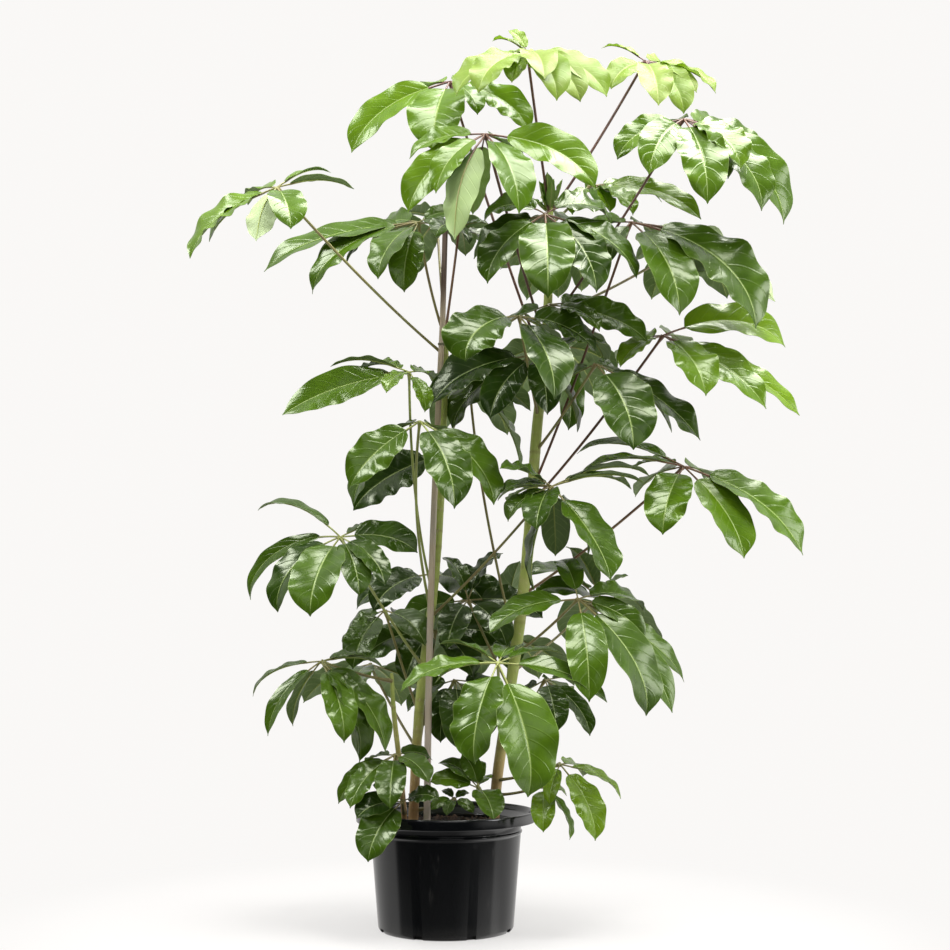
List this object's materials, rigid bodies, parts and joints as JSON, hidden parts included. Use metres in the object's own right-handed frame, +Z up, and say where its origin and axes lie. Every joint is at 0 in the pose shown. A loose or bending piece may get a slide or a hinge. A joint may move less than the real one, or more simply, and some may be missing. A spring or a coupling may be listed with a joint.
{
  "type": "potted umbrella plant",
  "caption": "Umbrella plant with glossy palmate fronds on tall cane stems, tied to a wooden stake and standing in a black nursery pot filled with potting mix.",
  "frame": {"origin": "centre of the pot's underside, on the surface it stands on", "axes": "+Z up along the pot's axis, +X to the right and -Y towards the viewer of the picture"},
  "size_m": [1.0002, 0.6282, 1.4995],
  "materials": {
    "pot_plastic": "black moulded polypropylene, satin with soft vertical reflections",
    "potting_mix": "dark crumbly bark-based potting mix",
    "stem": "smooth green-yellow cane with leaf scars, orange-brown at the foot",
    "leaf_stalk": "smooth thin leaf stalk, olive green to dark red-brown",
    "stake_wood": "sawn weathered hardwood, grey-brown, stained dark at the top",
    "tie": "soft dark plant tie",
    "leaf": "glossy dark green leaf with pale midrib, matte pale underside",
    "leaf_light": "glossy mid green leaf with pale midrib, matte pale underside",
    "leaf_new": "glossy lime green new leaf"
  },
  "bodies": {
    "root": {"pot": "pot_plastic", "soil": "potting_mix", "trunk_left": "stem", "trunk_right": "stem", "sucker_stem": "stem", "stake": "stake_wood", "tie_top": "tie", "tie_low": "tie", "frond_crown_centre": "leaf_new", "frond_crown_right": "leaf_new", "frond_right_high": "leaf", "frond_left_top": "leaf_light", "frond_centre_top": "leaf_light", "frond_centre_high": "leaf", "frond_right_young": "leaf_light", "frond_right_upper": "leaf", "frond_right_middle": "leaf", "frond_centre_broad": "leaf", "frond_centre_dark": "leaf", "frond_right_low_broad": "leaf", "frond_right_low": "leaf", "frond_middle_right": "leaf", "frond_low_right": "leaf", "frond_front_low": "leaf", "frond_left_low": "leaf", "frond_left_middle": "leaf", "frond_left_broad": "leaf", "frond_left_upper": "leaf", "frond_left_far": "leaf", "frond_left_dark": "leaf", "frond_left_high": "leaf", "frond_centre_shade": "leaf", "frond_centre_small": "leaf", "frond_stake_top": "leaf", "frond_left_shade": "leaf", "frond_middle_shade": "leaf", "frond_front_shade": "leaf", "frond_shade_behind": "leaf", "frond_shade_left_back": "leaf", "frond_low_shade": "leaf", "frond_foot_left": "leaf", "frond_rim_left": "leaf", "frond_foot_right": "leaf", "frond_foot_right_small": "leaf", "frond_foot_centre": "leaf", "frond_foot_sprout": "leaf", "frond_back_top_left": "leaf", "frond_back_top_right": "leaf", "frond_back_right": "leaf", "frond_back_centre": "leaf", "frond_back_left": "leaf", "frond_back_low_right": "leaf", "frond_back_low_centre": "leaf", "frond_back_low_left": "leaf"}
  },
  "joints": []
}
